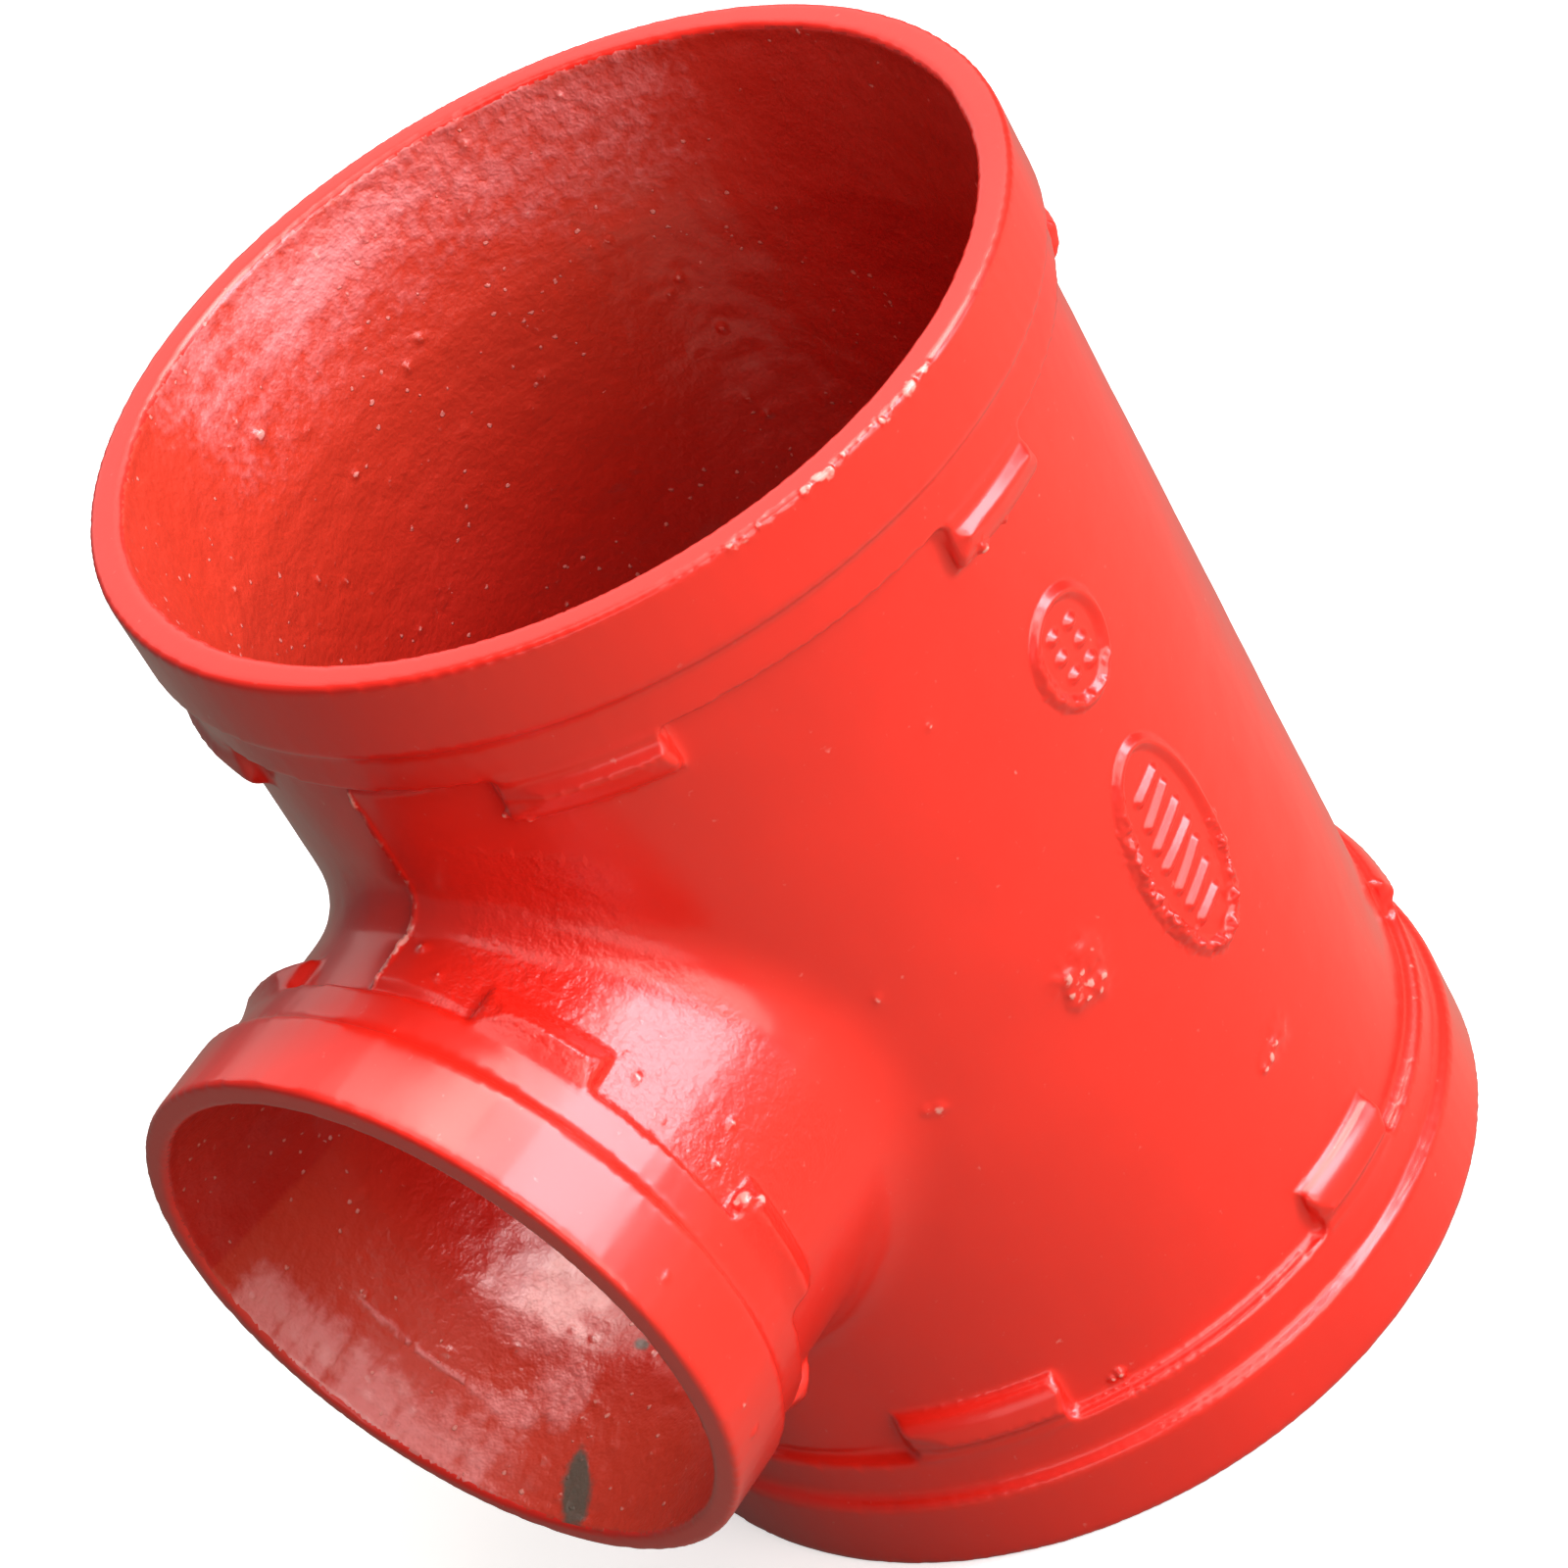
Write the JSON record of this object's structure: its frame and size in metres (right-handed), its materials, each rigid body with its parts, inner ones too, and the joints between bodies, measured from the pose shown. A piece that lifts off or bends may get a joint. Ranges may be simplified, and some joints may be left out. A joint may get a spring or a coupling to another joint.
{
  "type": "grooved reducing tee",
  "caption": "Cast pipe tee with a straight run, a smaller side branch and a grooved collar with interrupted shoulder lugs at each end.",
  "frame": {"origin": "centre of the lower run end face, on the run's axis", "axes": "+Z along the run's axis to the upper run end, +X along the branch's axis out of the branch end, which crosses the run's axis at mid height"},
  "size_m": [0.2032, 0.165, 0.2165],
  "materials": {
    "casting": "glossy red paint over a rough casting"
  },
  "bodies": {
    "root": {"tee_body": "casting"}
  },
  "joints": []
}
